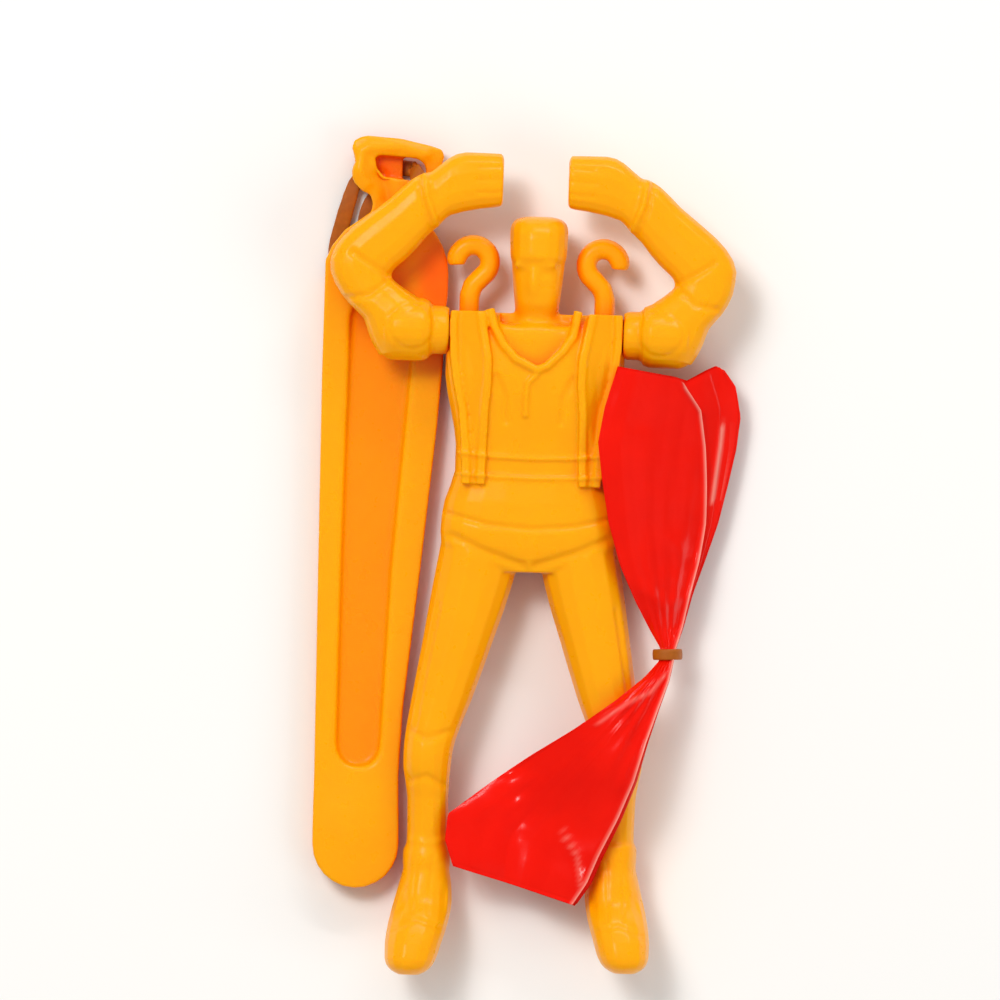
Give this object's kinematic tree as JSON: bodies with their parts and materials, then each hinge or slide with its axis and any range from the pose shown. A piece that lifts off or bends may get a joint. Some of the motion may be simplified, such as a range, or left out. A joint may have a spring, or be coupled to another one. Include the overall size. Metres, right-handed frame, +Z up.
{
  "type": "toy parachute",
  "caption": "Toy paratrooper lying on its back, with hinged raised arms, open line hooks, a slotted sling launcher with a rubber loop, and a pleated film canopy folded in a tie.",
  "frame": {"origin": "centre of the set's plan outline, on the surface that the figure's back lies on", "axes": "+Y from the boots to the raised hands, +Z up out of the chest, +X towards the folded canopy"},
  "size_m": [0.049, 0.0964, 0.0121],
  "materials": {
    "yellow_plastic": "glossy moulded thermoplastic, slightly translucent",
    "brown_rubber": "matt unfilled rubber strip",
    "red_film": "thin glossy polyethylene film in folds"
  },
  "bodies": {
    "figure": {"figure_body": "yellow_plastic", "left_hook": "yellow_plastic", "right_hook": "yellow_plastic"},
    "left_arm": {"left_arm": "yellow_plastic"},
    "right_arm": {"right_arm": "yellow_plastic"},
    "launcher": {"launcher_handle": "yellow_plastic", "launcher_band": "brown_rubber"},
    "canopy": {"canopy": "red_film", "canopy_tie": "brown_rubber"}
  },
  "joints": [
    {"name": "left_shoulder", "type": "hinge", "parent": "figure", "child": "left_arm", "pos_m": [-0.01385, 0.026, 0.0076], "axis": [1, 0, 0], "range_deg": [0, 150]},
    {"name": "right_shoulder", "type": "hinge", "parent": "figure", "child": "right_arm", "pos_m": [0.01395, 0.026, 0.0076], "axis": [1, 0, 0], "range_deg": [0, 100]},
    {"name": "launcher_away", "type": "slide", "parent": "figure", "child": "launcher", "axis": [-1, 0, 0], "range_m": [0, 0.02]},
    {"name": "canopy_away", "type": "slide", "parent": "figure", "child": "canopy", "axis": [0.303, -0.5051, 0.8081], "range_m": [0, 0.026]}
  ]
}
